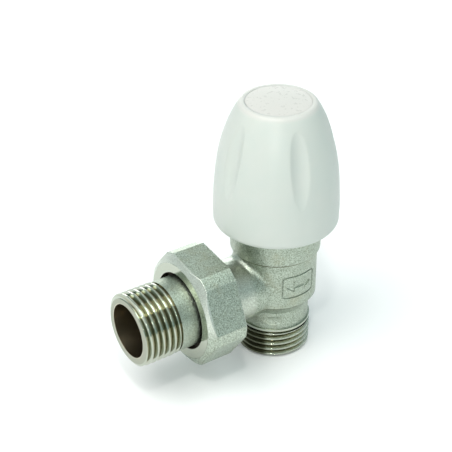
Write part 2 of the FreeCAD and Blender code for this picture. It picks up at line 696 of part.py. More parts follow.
def cap_inside():
    """Hollow of the cap, from its mouth to under the top."""
    side, low, high = cap_curve(CAP_WALL)
    mouth = V(CAP_MOUTH_R, 0, CAP_RIM_Z - CUT_OVER)
    edges = [Part.LineSegment(V(0, 0, mouth.z), mouth).toShape(),
             Part.LineSegment(mouth, low).toShape(),
             side,
             Part.LineSegment(high, V(0, 0, high.z)).toShape(),
             Part.LineSegment(V(0, 0, high.z), V(0, 0, mouth.z)).toShape()]
    hollow = Part.Face(Part.Wire(edges)).revolve(CENTRE, UP, FULL_TURN)
    return hollow.common(rod(CAP_RIM_R, CAP_RIM_Z - CUT_OVER, CAP_INNER_TOP_Z))


def flute_cutter():
    """Round bar that cuts one finger flute at angle zero."""
    low = V(FLUTE_LOW[0], 0, FLUTE_LOW[1])
    high = V(FLUTE_HIGH[0], 0, FLUTE_HIGH[1])
    along = high.sub(low)
    length = along.Length
    along.normalize()
    outward = V(along.z, 0, -along.x)
    start = low.add(outward.multiply(FLUTE_R)).sub(V(along).multiply(FLUTE_RUN_OUT))
    return Part.makeCylinder(FLUTE_R, length + 2 * FLUTE_RUN_OUT, start, along)


def cap_sleeve():
    """Inner sleeve that grips the clip ring, with its step and its ribs to the wall."""
    sleeve = tube(SLEEVE_OUT_R, SLEEVE_IN_R, SLEEVE_BOTTOM, SLEEVE_TOP)
    step = tube(SLEEVE_OUT_R, SLEEVE_STEP_R, CLIP_TOP + FIT_GAP, SLEEVE_TOP)
    pieces = [step]
    for index in range(RIB_COUNT):
        rib = Part.makeBox(RIB_REACH - SLEEVE_IN_R, RIB_THICKNESS, SLEEVE_TOP - SLEEVE_BOTTOM,
                           V(SLEEVE_IN_R, -RIB_THICKNESS / 2, SLEEVE_BOTTOM))
        rib = rib.cut(rod((SLEEVE_IN_R + SLEEVE_OUT_R) / 2, SLEEVE_BOTTOM, SLEEVE_TOP))
        pieces.append(turned_about_z(rib, index * FULL_TURN / RIB_COUNT))
    return sleeve.fuse(pieces)


def cap_shell():
    """White cap: hollow shell, five finger flutes, pocket for the top disc, inner sleeve."""
    outside = cap_outside()
    for index in range(FLUTE_COUNT):
        angle = FLUTE_FIRST_ANGLE + index * FULL_TURN / FLUTE_COUNT
        outside = outside.cut(turned_about_z(flute_cutter(), angle))
    shell = outside.cut(cap_inside())
    shell = shell.cut(rod(DISC_POCKET_R, DISC_POCKET_FLOOR, CAP_TOP_Z + CUT_OVER))
    return shell.fuse(cap_sleeve())


def cap_top_disc():
    """Plain insert in the cap's top, slightly domed."""
    floor = DISC_POCKET_FLOOR + FIT_GAP
    reach = TOP_DISC_R - TOP_DISC_EDGE
    ball = (reach ** 2 + TOP_DISC_RISE ** 2) / (2 * TOP_DISC_RISE)
    half_angle = math.asin(reach / ball) / 2
    top = CAP_TOP_Z + TOP_DISC_RISE
    dome_through = (ball * math.sin(half_angle), top - ball * (1 - math.cos(half_angle)))
    return turned((0, floor), [
        (TOP_DISC_R, floor), (TOP_DISC_R, CAP_TOP_Z - TOP_DISC_EDGE),
        (reach, CAP_TOP_Z), (dome_through, (0, top))])


def cap_clip_ring():
    """Split ring in the headwork's groove, which the cap pushes onto."""
    clip = tube(CLIP_OUT_R, CLIP_IN_R, CLIP_BOTTOM, CLIP_TOP)
    return clip.cut(split_box(CLIP_GAP, CLIP_OUT_R, CLIP_BOTTOM, CLIP_TOP))


# ---------------------------------------------------------------- union
def union_nut():
    """Union nut: turned corners, front chamfer, inner thread, relief and lip."""
    outside = hexagon(NUT_FLATS, NUT_BACK, NUT_FRONT)
    outside = turned_about_z(outside, NUT_TILT)
    outside = outside.common(turned((0, NUT_BACK), [
        (NUT_CORNER_R, NUT_BACK), (NUT_CORNER_R, NUT_FRONT - NUT_CHAMFER_DROP),
        (NUT_FACE_R, NUT_FRONT), (0, NUT_FRONT)]))
    thread_bore = G34_ROOT + THREAD_GAP
    relief = G34_CREST + NUT_RELIEF_DEPTH
    hollow = turned((0, NUT_BACK - CUT_OVER), [
        (thread_bore + NUT_MOUTH_CHAMFER + CUT_OVER, NUT_BACK - CUT_OVER),
        (thread_bore, NUT_BACK + NUT_MOUTH_CHAMFER), (thread_bore, NUT_RELIEF_START),
        (relief, NUT_RELIEF_START), (relief, NUT_LIP_START), (NUT_HOLE_R, NUT_LIP_START),
        (NUT_HOLE_R, NUT_FRONT + CUT_OVER), (0, NUT_FRONT + CUT_OVER)])
    nut = outside.cut(hollow)
    nut = with_inner_thread(nut, G34_CREST, G34_ROOT, G_PITCH, (NUT_BACK - G_PITCH, NUT_RELIEF_START))
    return laid_down(nut)


def tail_lugs():
    """Two ribs in the bore that the fitting key turns."""
    reach = TAIL_BORE_R + CUT_OVER - LUG_INNER_R
    lugs = []
    for index in range(LUG_COUNT):
        lug = Part.makeBox(reach, LUG_WIDTH, LUG_TO - LUG_FROM,
                           V(LUG_INNER_R, -LUG_WIDTH / 2, LUG_FROM))
        lugs.append(turned_about_z(lug, index * FULL_TURN / LUG_COUNT))
    return lugs


def tailpiece():
    """Radiator tail: spigot with seal groove, collar, plain tube and G1/2 thread."""
    solid = turned((TAIL_BORE_R, TAIL_NOSE), [
        (TAIL_SPIGOT_R, TAIL_NOSE), (TAIL_SPIGOT_R, TAIL_RING_LOW),
        (TAIL_RING_GROOVE_R, TAIL_RING_LOW), (TAIL_RING_GROOVE_R, TAIL_RING_HIGH),
        (TAIL_SPIGOT_R, TAIL_RING_HIGH), (TAIL_SPIGOT_R, TAIL_COLLAR_START),
        (TAIL_COLLAR_R, TAIL_COLLAR_START), (TAIL_COLLAR_R, TAIL_COLLAR_END),
        (TAIL_TUBE_R, TAIL_COLLAR_END), (TAIL_TUBE_R, TAIL_RELIEF_START),
        (PIPE_RELIEF_R, TAIL_RELIEF_START), (PIPE_RELIEF_R, TAIL_THREAD_START),
        (TAIL_BORE_R, TAIL_THREAD_START)])
    threaded_end = turned((TAIL_BORE_R, TAIL_THREAD_START), [
        (G12_CREST, TAIL_THREAD_START), (G12_CREST, TAIL_END - LEAD_IN_HEIGHT),
        (G12_CREST - LEAD_IN_RADIAL, TAIL_END), (TAIL_BORE_R, TAIL_END)])
    threaded_end = with_outer_thread(threaded_end, G12_CREST, G12_ROOT, G_PITCH,
                                     (TAIL_THREAD_START - G_PITCH, TAIL_END))
    return laid_down(solid.fuse([threaded_end] + tail_lugs()))


def tail_oring():
    """Seal ring round the tail's spigot."""
    return laid_down(ring(TAIL_RING_MIDDLE_R, TAIL_RING_SECTION_R,
                          (TAIL_RING_LOW + TAIL_RING_HIGH) / 2))


# ---------------------------------------------------------------- all pieces
NODES = {
    "body_forging": body_forging,
    "headwork": headwork,
    "headwork_oring": headwork_oring,
    "gland_nut": gland_nut,
    "gland_washer": gland_washer,
    "spindle_oring_lower": spindle_oring_lower,
    "spindle_oring_upper": spindle_oring_upper,
    "spindle": spindle,
    "thrust_washer": thrust_washer,
    "swivel_clip": swivel_clip,
    "shutter": shutter,
    "seat_washer": seat_washer,
    "seat_plate": seat_plate,
    "seat_screw": seat_screw,
    "cap_shell": cap_shell,
    "cap_top_disc": cap_top_disc,
    "cap_clip_ring": cap_clip_ring,
    "union_nut": union_nut,
    "tailpiece": tailpiece,
    "tail_oring": tail_oring,
}

os.makedirs("parts", exist_ok=True)
for node, make in NODES.items():
    piece = make()
    if not piece.isValid() or len(piece.Solids) != 1:
        raise RuntimeError(node + " isn't one sound solid")
    piece.exportStep("parts/" + node + ".step")
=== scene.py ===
"""Looks of the angle lockshield valve: materials, floor, light and camera round the CAD frame."""
import json
import math
from collections import namedtuple

import bpy
from mathutils import Matrix, Vector

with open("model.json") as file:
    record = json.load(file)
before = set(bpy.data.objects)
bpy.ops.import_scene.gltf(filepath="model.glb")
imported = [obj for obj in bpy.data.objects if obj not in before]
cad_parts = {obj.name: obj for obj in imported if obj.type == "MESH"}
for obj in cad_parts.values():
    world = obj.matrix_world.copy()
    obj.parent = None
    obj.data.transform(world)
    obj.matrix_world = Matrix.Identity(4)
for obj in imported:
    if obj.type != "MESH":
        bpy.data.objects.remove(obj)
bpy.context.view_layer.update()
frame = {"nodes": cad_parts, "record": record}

MM = 0.001


def rgba(red, green, blue):
    """Opaque colour."""
    return (red, green, blue, 1.0)


# ---------------------------------------------------------------- places, from the frame
MOUNTS = {mount["name"]: Vector(mount["pos_m"]) for mount in frame["record"]["mounts"]}
TAIL_AXIS_Z = MOUNTS["radiator_connection"].z
TAIL_END_X = MOUNTS["radiator_connection"].x

# ---------------------------------------------------------------- edges between finishes
# Radii are from the axis of the spindle or of the branch.
STEP_HALF = 0.05 * MM
PIPE_TURNED_TOP_Z = 9.85 * MM
PIPE_THREAD_TOP_Z = 9.0 * MM
# Top of the painted shade on the pipe thread.
PIPE_SHADE_TOP_Z = 9.05 * MM
PIPE_WATERWAY_TOP_Z = 11.3 * MM
BODY_WATERWAY_R = 7.3 * MM
BRANCH_WATERWAY_X = -9.0 * MM
BRANCH_BOSS_X = -21.85 * MM
BRANCH_LOW_Z = 10 * MM
BODY_MOUTH_Z = 40.5 * MM
BARREL_LINES_R = 14 * MM
NUT_TURNED_R = 14.0 * MM
NUT_CHAMFER_R = 14.2 * MM
NUT_CHAMFER_X = -31.1 * MM
NUT_GAP_R = 11.35 * MM
TAIL_TURNED_X = -37.75 * MM
TAIL_THREAD_END_X = -48.7 * MM
TAIL_END_FACE_X = TAIL_END_X + 0.05 * MM
TAIL_WATERWAY_R = 7.95 * MM
TAIL_GAP_X = -31.3 * MM
TAIL_GAP_R = 8.5 * MM

# ---------------------------------------------------------------- spans over which a finish fades
THREAD_DEPTH_R = (9.4 * MM, 10.3 * MM)
NEAR_BARREL_R = (12.0 * MM, 15.5 * MM)
NEAR_BRANCH_R = (9.3 * MM, 12.0 * MM)
UPPER_MEETING_Z = (22 * MM, 26 * MM)
# Spans of painted shade on the pipe thread, painted light on the branch, the nut's painted highlight
# above and shade below, painted shade on the tube and painted top light on the cap.
PIPE_SHADE_X = (-8.4 * MM, -7.2 * MM)
BRANCH_LIGHT_X = (-14 * MM, -11.5 * MM)
UPPER_NUT_Z = (20 * MM, 27 * MM)
TUBE_SPECKLE_X = (-35 * MM, -31.3 * MM)
CAP_LIT_TOP_Z = (76.9 * MM, 77.9 * MM)
EDGE_MASK_DOT = (0.94, 0.999)

# Painted shade in a line round the barrel, under the collar's or the skirt's lower edge: height, half
# width and share at its middle.
COLLAR_LINE = (32.9 * MM, 0.5 * MM, 0.95)
SKIRT_LINE = (17.95 * MM, 0.45 * MM, 0.7)

# ---------------------------------------------------------------- colours
BLASTED_PEAK = rgba(0.51, 0.575, 0.49)
NUT_PEAK = rgba(0.58, 0.65, 0.56)
BLASTED_DIP = rgba(0.26, 0.30, 0.235)
BLASTED_WARM = rgba(0.36, 0.36, 0.25)
MACHINED = rgba(0.52, 0.565, 0.49)
MACHINED_WARM = rgba(0.36, 0.36, 0.25)
# Painted shade deep in threads, a warm dark brown.
FLANK_SHADE = rgba(0.25, 0.235, 0.135)
# Colour of painted highlights on the nut and of painted light on the branch.
PAINTED_HIGHLIGHT = rgba(0.88, 0.90, 0.83)
BORE_DARK = rgba(0.32, 0.27, 0.18)
# Painted glints along the turning rings in waterways.
BORE_GLINT = rgba(0.85, 0.80, 0.66)
SHADED_GAP = rgba(0.045, 0.038, 0.025)
# Colour of painted shade: under the barrel's edges, in the branch corner, on the pipe thread, on the
# nut's lower edges and on the tail.
PAINTED_SHADE = rgba(0.12, 0.12, 0.075)
BRASS = rgba(0.66, 0.47, 0.20)
BRASS_TARNISH = rgba(0.45, 0.32, 0.15)
STEEL = rgba(0.56, 0.56, 0.57)
RUBBER = rgba(0.012, 0.012, 0.012)
RUBBER_BLOOM = rgba(0.05, 0.05, 0.048)
PAPER = rgba(0.93, 0.93, 0.93)

# ---------------------------------------------------------------- finishes that come in patches
# The share grows from 0 to its full value while the noise goes from low to high.
Patches = namedtuple("Patches", "size detail low high share")
WARM_PATCHES = Patches(size=5 * MM, detail=3.0, low=0.5, high=0.75, share=0.4)
# CORNER_MOTTLE, NUT_SPECKLE and TUBE_SPECKLE break painted shade into patches.
CORNER_MOTTLE = Patches(size=0.9 * MM, detail=2.0, low=0.45, high=0.65, share=0.4)
NUT_SPECKLE = Patches(size=0.7 * MM, detail=2.0, low=0.45, high=0.6, share=0.9)
TUBE_SPECKLE = Patches(size=0.6 * MM, detail=2.0, low=0.4, high=0.65, share=1.0)
TARNISH = Patches(size=3 * MM, detail=3.0, low=0.4, high=0.7, share=0.5)
RUBBER_HAZE = Patches(size=1.5 * MM, detail=3.0, low=0.4, high=0.75, share=0.5)
PLASTIC_TONE = Patches(size=9 * MM, detail=2.0, low=0.35, high=0.7, share=1.0)

# ---------------------------------------------------------------- shares of even finishes, of painted shade and of painted light
FLANK_SHADE_SHARE = 0.9
PIPE_SHADE_SHARE = 0.85
BRANCH_LIGHT_SHARE = 0.22
NUT_CHAMFER_HIGHLIGHT_SHARE = 0.45
TUBE_SPECKLE_SHARE = 0.9
END_FACE_SHADE_SHARE = 0.35
TURNING_WARM_SHARE = 0.6

# ---------------------------------------------------------------- grain, depth and roughness
NOISE_RANGE = (0.3, 0.7)
# Patches of the nut's painted highlight.
NUT_GLINT_PATCH = 2 * MM
NUT_GLINT_RANGE = (0.4, 0.6)
NUT_GLINT_SHARE = (0.3, 1.0)
BLAST_GRAIN = 0.3 * MM
BLAST_COARSE = 0.8 * MM
BLAST_FINE = 0.34 * MM
BLAST_FINE_SHARE = 0.4
BLAST_DEPTH = 0.20 * MM
BLAST_ROUGH_PATCH = 1.6 * MM
BLAST_ROUGH = (0.34, 0.46)
TURNING_PITCH = 0.14 * MM
TURNING_DETAIL = 4.0
TURNING_HARSHNESS = 0.7
TURNING_WARM_RANGE = (0.35, 0.7)
TURNING_DEPTH = 0.006 * MM
TURNING_ROUGH = (0.06, 0.13)
BORE_GLINT_RANGE = (0.46, 0.66)
BORE_RING_DEPTH = 0.04 * MM
BORE_ROUGH = 0.25
HIGHLIGHT_ROUGH = 0.2
BEVEL_SAMPLES = 4
METAL_EDGE = 0.22 * MM
EDGE_MASK_REACH = 0.45 * MM
BRASS_EDGE = 0.12 * MM
BRASS_ROUGH = (0.2, 0.32)
STEEL_DEPTH = 0.004 * MM
STEEL_ROUGH = (0.22, 0.34)
PLASTIC_EDGE = 0.3 * MM
CAP_EDGE = 1.1 * MM
PLASTIC_GRAIN = 0.22 * MM
PLASTIC_GRAIN_DEPTH = 0.005 * MM
PLASTIC_WAVE = 5 * MM
PLASTIC_WAVE_DEPTH = 0.05 * MM
PLASTIC_ROUGH_PATCH = 1.2 * MM
PLASTIC_IOR = 1.5
PLASTIC_SCATTER_RADIUS = (1.6, 1.5, 1.3)
TOP_DISC_CURVE_R = 160 * MM
RUBBER_ROUGH = (0.42, 0.6)
RUBBER_ROUGH_PATCH = 0.4 * MM
RUBBER_GRAIN = 0.2 * MM
RUBBER_DEPTH = 0.01 * MM
PAPER_ROUGH = 0.9

# ---------------------------------------------------------------- floor and studio
FLOOR_HALF = 4.0
FLOOR_DROP = 0.05 * MM
SKY_LOW = rgba(0.26, 0.46, 0.49)
SKY_HIGH = rgba(0.96, 1.0, 0.99)
SKY_STRENGTH = 0.82
SKY_LEVEL = 0.3
SKY_UPWARD = 0.65
SKY_LEFTWARD = -0.3
LIGHT_AIM = Vector((0, 0, 30 * MM))
LIGHT_WHITE = (1.0, 1.0, 0.97)

# ---------------------------------------------------------------- camera
CAMERA_AZIMUTH = -34.25
CAMERA_ELEVATION = 32.27
CAMERA_DEPTH = 0.37962
CAMERA_LENS = 100.9
CAMERA_NEAR = 10 * MM
CAMERA_FAR = 20.0
SENSOR = 36.0
ORIGIN_RIGHT_OF_CENTRE = 0.01404
ORIGIN_BELOW_CENTRE = 0.03275


# ---------------------------------------------------------------- shader helpers
class Recipe:
    """One node material, built step by step. Values may be numbers or sockets."""

    def __init__(self, name):
        self.material = bpy.data.materials.new(name)
        self.material.use_nodes = True
        self.tree = self.material.node_tree
        self.tree.nodes.clear()
        self.shader = self.tree.nodes.new("ShaderNodeBsdfPrincipled")
        output = self.tree.nodes.new("ShaderNodeOutputMaterial")
        self.tree.links.new(self.shader.outputs["BSDF"], output.inputs["Surface"])
        self.place = self.tree.nodes.new("ShaderNodeTexCoord").outputs["Object"]
        split = self.tree.nodes.new("ShaderNodeSeparateXYZ")
        self.tree.links.new(self.place, split.inputs[0])
        self.x, self.y, self.z = split.outputs

    def feed(self, socket, value):
        """Link a socket, or set a number or colour."""
        if isinstance(value, bpy.types.NodeSocket):
            self.tree.links.new(value, socket)
        else:
            socket.default_value = value

    def set(self, **values):
        """Set inputs of the shader by name, with _ for a space."""
        for name, value in values.items():
            self.feed(self.shader.inputs[name.replace("_", " ")], value)

    def math(self, operation, first, second=0.0):
        node = self.tree.nodes.new("ShaderNodeMath")
        node.operation = operation
        self.feed(node.inputs[0], first)
        self.feed(node.inputs[1], second)
        return node.outputs[0]

    def remap(self, value, low, high, new_low, new_high):
        """Smooth step from new_low below low to new_high above high."""
        node = self.tree.nodes.new("ShaderNodeMapRange")
        node.interpolation_type = "SMOOTHSTEP"
        for socket, entry in zip(node.inputs, (value, low, high, new_low, new_high)):
            self.feed(socket, entry)
        return node.outputs[0]

    def noise(self, size, detail=3.0, vector=None, roughness=0.55):
        """Noise between 0 and 1 whose lumps are about size metres across."""
        node = self.tree.nodes.new("ShaderNodeTexNoise")
        self.feed(node.inputs["Vector"], self.place if vector is None else vector)
        node.inputs["Scale"].default_value = 1 / size
        node.inputs["Detail"].default_value = detail
        node.inputs["Roughness"].default_value = roughness
        return node.outputs["Fac"]

    def vector(self, x, y, z):
        node = self.tree.nodes.new("ShaderNodeCombineXYZ")
        for socket, value in zip(node.inputs, (x, y, z)):
            self.feed(socket, value)
        return node.outputs[0]

    def mix(self, share, first, second):
        """Mix of two colours."""
        node = self.tree.nodes.new("ShaderNodeMix")
        node.data_type = "RGBA"
        self.feed(node.inputs[0], share)
        self.feed(node.inputs[6], first)
        self.feed(node.inputs[7], second)
        return node.outputs[2]

    def blend(self, share, first, second):
        """Mix of two numbers."""
        node = self.tree.nodes.new("ShaderNodeMix")
        self.feed(node.inputs[0], share)
        self.feed(node.inputs[2], first)
        self.feed(node.inputs[3], second)
        return node.outputs[0]

    def bump(self, height, depth, strength=1.0, under=None):
        """Bump whose height from 0 to 1 stands for depth metres."""
        node = self.tree.nodes.new("ShaderNodeBump")
        self.feed(node.inputs["Strength"], strength)
        node.inputs["Distance"].default_value = depth
        self.feed(node.inputs["Height"], height)
        if under is not None:
            self.feed(node.inputs["Normal"], under)
        return node.outputs[0]

    def rounded(self, radius):
        """Normal with edges rounded to a small radius."""
        node = self.tree.nodes.new("ShaderNodeBevel")
        node.samples = BEVEL_SAMPLES
        node.inputs["Radius"].default_value = radius
        return node.outputs[0]

    def dome_normal(self, curve_radius):
        """Normal of a shallow dome about the spindle's axis, smooth over the mesh's facets."""
        turn = self.tree.nodes.new("ShaderNodeVectorTransform")
        turn.vector_type = "NORMAL"
        turn.convert_from = "OBJECT"
        turn.convert_to = "WORLD"
        self.feed(turn.inputs[0], self.vector(self.x, self.y, curve_radius))
        unit = self.tree.nodes.new("ShaderNodeVectorMath")
        unit.operation = "NORMALIZE"
        self.feed(unit.inputs[0], turn.outputs[0])
        return unit.outputs[0]

    def radius_from(self, first, second):
        """Distance from an axis, given the two coordinates across it."""
        squares = self.math("ADD", self.math("MULTIPLY", first, first),
                            self.math("MULTIPLY", second, second))
        return self.math("SQRT", squares)

    def upright_radius(self):
        """Distance from the axis of the spindle."""
        return self.radius_from(self.x, self.y)

    def tail_radius(self):
        """Distance from the axis of the branch."""
        return self.radius_from(self.y, self.math("SUBTRACT", self.z, TAIL_AXIS_Z))


def fade_in(recipe, value, span, share=1.0):
    """0 below the span and the share above it."""
    return recipe.remap(value, *span, 0.0, share)


def fade_out(recipe, value, span, share=1.0):
    """The share below the span and 0 above it."""
    return recipe.remap(value, *span, share, 0.0)


def step_up(recipe, value, edge):
    """0 below the edge and 1 above it."""
    return fade_in(recipe, value, (edge - STEP_HALF, edge + STEP_HALF))


def step_down(recipe, value, edge):
    """1 below the edge and 0 above it."""
    return fade_out(recipe, value, (edge - STEP_HALF, edge + STEP_HALF))


def band(recipe, value, middle, half_width, share):
    """The share at the middle, fading to 0 at the half width."""
    away = recipe.math("ABSOLUTE", recipe.math("SUBTRACT", value, middle))
    return fade_out(recipe, away, (0.0, half_width), share)


def either(recipe, first, second):
    """The larger of two shares."""
    return recipe.math("MAXIMUM", first, second)


def both(recipe, first, second):
    """The product of two shares."""
    return recipe.math("MULTIPLY", first, second)


def vary(recipe, noise, span):
    """A value that follows a noise from the span's low end to its high end."""
    return recipe.remap(noise, *NOISE_RANGE, *span)


def patches(recipe, kind):
    """Share of a finish that comes in patches."""
    return fade_in(recipe, recipe.noise(kind.size, kind.detail), (kind.low, kind.high), kind.share)


# ---------------------------------------------------------------- metal finishes
def blasted_colour(recipe, peak):
    """Satin nickel over shot-blasted brass: pale grey-green grain with warmer patches."""
    grain = vary(recipe, recipe.noise(BLAST_GRAIN, 1.0), (0.0, 1.0))
    base = recipe.mix(grain, BLASTED_DIP, peak)
    return recipe.mix(patches(recipe, WARM_PATCHES), base, BLASTED_WARM)


def blasted_height(recipe):
    """Height of the blasted grain, from 0 to 1."""
    coarse = recipe.noise(BLAST_COARSE, 2.0)
    fine = recipe.noise(BLAST_FINE)
    return recipe.blend(BLAST_FINE_SHARE, coarse, fine)


def turning_height(recipe, along):
    """Height of fine rings left by the lathe, which change only along the axis."""
    place = recipe.vector(along, 0.0, 0.0)
    return recipe.noise(TURNING_PITCH, TURNING_DETAIL, place, TURNING_HARSHNESS)


def edge_share(recipe):
    """1 on outer and inner edges, where the rounded normal leaves the true one."""
    straight = recipe.tree.nodes.new("ShaderNodeNewGeometry").outputs["Normal"]
    dot = recipe.tree.nodes.new("ShaderNodeVectorMath")
    dot.operation = "DOT_PRODUCT"
    recipe.feed(dot.inputs[0], straight)
    recipe.feed(dot.inputs[1], recipe.rounded(EDGE_MASK_REACH))
    return fade_out(recipe, dot.outputs["Value"], EDGE_MASK_DOT)


def thread_flank_shade(recipe, radius, run):
    """Share of painted shade, a warm dark brown, on the flanks deep in a thread, where run gives 1."""
    return both(recipe, fade_out(recipe, radius, THREAD_DEPTH_R, FLANK_SHADE_SHARE), run)


def never(recipe):
    """Share for a finish that the piece doesn't have."""
    return 0.0


def two_finish_metal(name, along, machined, peak=BLASTED_PEAK, bore=never, flank=never, gap=never,
                     painted_shade=never, painted_light=never):
    """Nickel plate, blasted where machined gives 0 and turned where it gives 1.

    Each further share marks where bore, painted shade on thread flanks, painted shade in gaps, other
    painted shade and painted light are.
    """
    recipe = Recipe(name)
    turned_share = machined(recipe)
    bore_share = bore(recipe)
    light_share = painted_light(recipe)
    rings = turning_height(recipe, along(recipe))

    warm_rings = fade_in(recipe, rings, TURNING_WARM_RANGE, TURNING_WARM_SHARE)
    turned_colour = recipe.mix(warm_rings, MACHINED, MACHINED_WARM)
    turned_colour = recipe.mix(flank(recipe), turned_colour, FLANK_SHADE)
    colour = recipe.mix(turned_share, blasted_colour(recipe, peak), turned_colour)
    # Painted shade over the finish.
    colour = recipe.mix(painted_shade(recipe), colour, PAINTED_SHADE)
    # Painted highlight and painted light over the finish, with lower roughness there.
    colour = recipe.mix(light_share, colour, PAINTED_HIGHLIGHT)
    # Dark waterway colour with painted glints along the turning rings.
    bore_colour = recipe.mix(fade_in(recipe, rings, BORE_GLINT_RANGE), BORE_DARK, BORE_GLINT)
    colour = recipe.mix(bore_share, colour, bore_colour)
    colour = recipe.mix(gap(recipe), colour, SHADED_GAP)

    blasted_rough = vary(recipe, recipe.noise(BLAST_ROUGH_PATCH), BLAST_ROUGH)
    rough = recipe.blend(turned_share, blasted_rough, vary(recipe, rings, TURNING_ROUGH))
    rough = recipe.blend(light_share, rough, HIGHLIGHT_ROUGH)
    rough = recipe.blend(bore_share, rough, BORE_ROUGH)

    blasted_share = recipe.math("SUBTRACT", 1.0, turned_share)
    normal = recipe.bump(blasted_height(recipe), BLAST_DEPTH, blasted_share, recipe.rounded(METAL_EDGE))
    normal = recipe.bump(rings, TURNING_DEPTH, turned_share, normal)
    normal = recipe.bump(rings, BORE_RING_DEPTH, bore_share, normal)
    recipe.set(Base_Color=colour, Metallic=1.0, Roughness=rough, Normal=normal)
    return recipe.material


def body_metal():
    """Body: blasted forging with a turned pipe end, branch boss and mouth; painted shade under its
    edges, in the branch corner and on the pipe thread, and painted light on the branch.
    """
    def machined(recipe):
        pipe_end = step_down(recipe, recipe.z, PIPE_TURNED_TOP_Z)
        boss = step_down(recipe, recipe.x, BRANCH_BOSS_X)
        mouth = step_up(recipe, recipe.z, BODY_MOUTH_Z)
        return either(recipe, either(recipe, pipe_end, boss), mouth)

    def bore(recipe):
        pipe = both(recipe, step_down(recipe, recipe.upright_radius(), BODY_WATERWAY_R),
                    step_down(recipe, recipe.z, PIPE_WATERWAY_TOP_Z))
        branch = both(recipe, step_down(recipe, recipe.tail_radius(), BODY_WATERWAY_R),
                      step_down(recipe, recipe.x, BRANCH_WATERWAY_X))
        return either(recipe, pipe, branch)

    def flank(recipe):
        run = step_down(recipe, recipe.z, PIPE_THREAD_TOP_Z)
        return thread_flank_shade(recipe, recipe.upright_radius(), run)

    # Painted shade under the collar and the skirt, in the branch corner and on the pipe thread.
    def painted_shade(recipe):
        lines = either(recipe, band(recipe, recipe.z, *COLLAR_LINE), band(recipe, recipe.z, *SKIRT_LINE))
        lines = both(recipe, lines, step_down(recipe, recipe.upright_radius(), BARREL_LINES_R))
        # Mottled painted shade in the upper corner where the branch meets the barrel.
        corner = both(recipe, fade_out(recipe, recipe.upright_radius(), NEAR_BARREL_R),
                      fade_out(recipe, recipe.tail_radius(), NEAR_BRANCH_R))
        meeting = both(recipe, corner, fade_in(recipe, recipe.z, UPPER_MEETING_Z))
        mottled = both(recipe, meeting, patches(recipe, CORNER_MOTTLE))
        # Painted shade and painted dark reflection on the pipe thread's side under the branch.
        pipe_shade = both(recipe, fade_out(recipe, recipe.x, PIPE_SHADE_X, PIPE_SHADE_SHARE),
                     step_down(recipe, recipe.z, PIPE_SHADE_TOP_Z))
        return either(recipe, either(recipe, lines, mottled), pipe_shade)

    # Painted light: a paler colour and lower roughness over the branch out towards the nut.
    def painted_light(recipe):
        return both(recipe, fade_out(recipe, recipe.x, BRANCH_LIGHT_X, BRANCH_LIGHT_SHARE),
                    step_up(recipe, recipe.z, BRANCH_LOW_Z))

    return two_finish_metal("nickel_forged_body", lambda recipe: recipe.z, machined, bore=bore,
                            flank=flank, painted_shade=painted_shade, painted_light=painted_light)


def nut_metal():
    """Union nut: blasted flats, turned front, painted highlight on the upper edges and chamfer, painted
    shade on the lower edges and in the gap round the tube.
    """
    def machined(recipe):
        return step_down(recipe, recipe.tail_radius(), NUT_TURNED_R)

    def gap(recipe):
        return step_down(recipe, recipe.tail_radius(), NUT_GAP_R)

    # Upper part of the nut: painted highlight above it, painted shade below it.
    def upper(recipe):
        return fade_in(recipe, recipe.z, UPPER_NUT_Z)

    # Painted highlight, in patches, on the upper edges and over the chamfer.
    def painted_light(recipe):
        glint_patches = recipe.remap(recipe.noise(NUT_GLINT_PATCH), *NUT_GLINT_RANGE, *NUT_GLINT_SHARE)
        edges = both(recipe, edge_share(recipe), glint_patches)
        chamfer = both(recipe, step_down(recipe, recipe.x, NUT_CHAMFER_X),
                       step_up(recipe, recipe.tail_radius(), NUT_CHAMFER_R))
        chamfer = both(recipe, chamfer, NUT_CHAMFER_HIGHLIGHT_SHARE)
        return both(recipe, either(recipe, edges, chamfer), upper(recipe))

    # Painted shade, broken into patches, on the nut's lower edges.
    def painted_shade(recipe):
        edges = both(recipe, edge_share(recipe), patches(recipe, NUT_SPECKLE))
        return both(recipe, edges, recipe.math("SUBTRACT", 1.0, upper(recipe)))

    return two_finish_metal("nickel_forged_nut", lambda recipe: recipe.tail_radius(), machined,
                            peak=NUT_PEAK, gap=gap, painted_shade=painted_shade, painted_light=painted_light)


def tail_metal():
    """Tailpiece: blasted tube, turned thread and end face, with painted shade in the gap by the nut, on
    the tube next to it and on the end face.
    """
    def machined(recipe):
        return step_down(recipe, recipe.x, TAIL_TURNED_X)

    def bore(recipe):
        return step_down(recipe, recipe.tail_radius(), TAIL_WATERWAY_R)

    def flank(recipe):
        run = step_up(recipe, recipe.x, TAIL_THREAD_END_X)
        return thread_flank_shade(recipe, recipe.tail_radius(), run)

    def gap(recipe):
        return both(recipe, step_up(recipe, recipe.x, TAIL_GAP_X),
                    step_up(recipe, recipe.tail_radius(), TAIL_GAP_R))

    # Patchy painted shade on the tube next to the nut, and painted shade over the end face.
    def painted_shade(recipe):
        speckle = both(recipe, patches(recipe, TUBE_SPECKLE),
                       fade_in(recipe, recipe.x, TUBE_SPECKLE_X, TUBE_SPECKLE_SHARE))
        end_face = both(recipe, step_down(recipe, recipe.x, TAIL_END_FACE_X), END_FACE_SHADE_SHARE)
        return either(recipe, speckle, end_face)

    return two_finish_metal("nickel_turned_tail", lambda recipe: recipe.x, machined, bore=bore,
                            flank=flank, gap=gap, painted_shade=painted_shade)


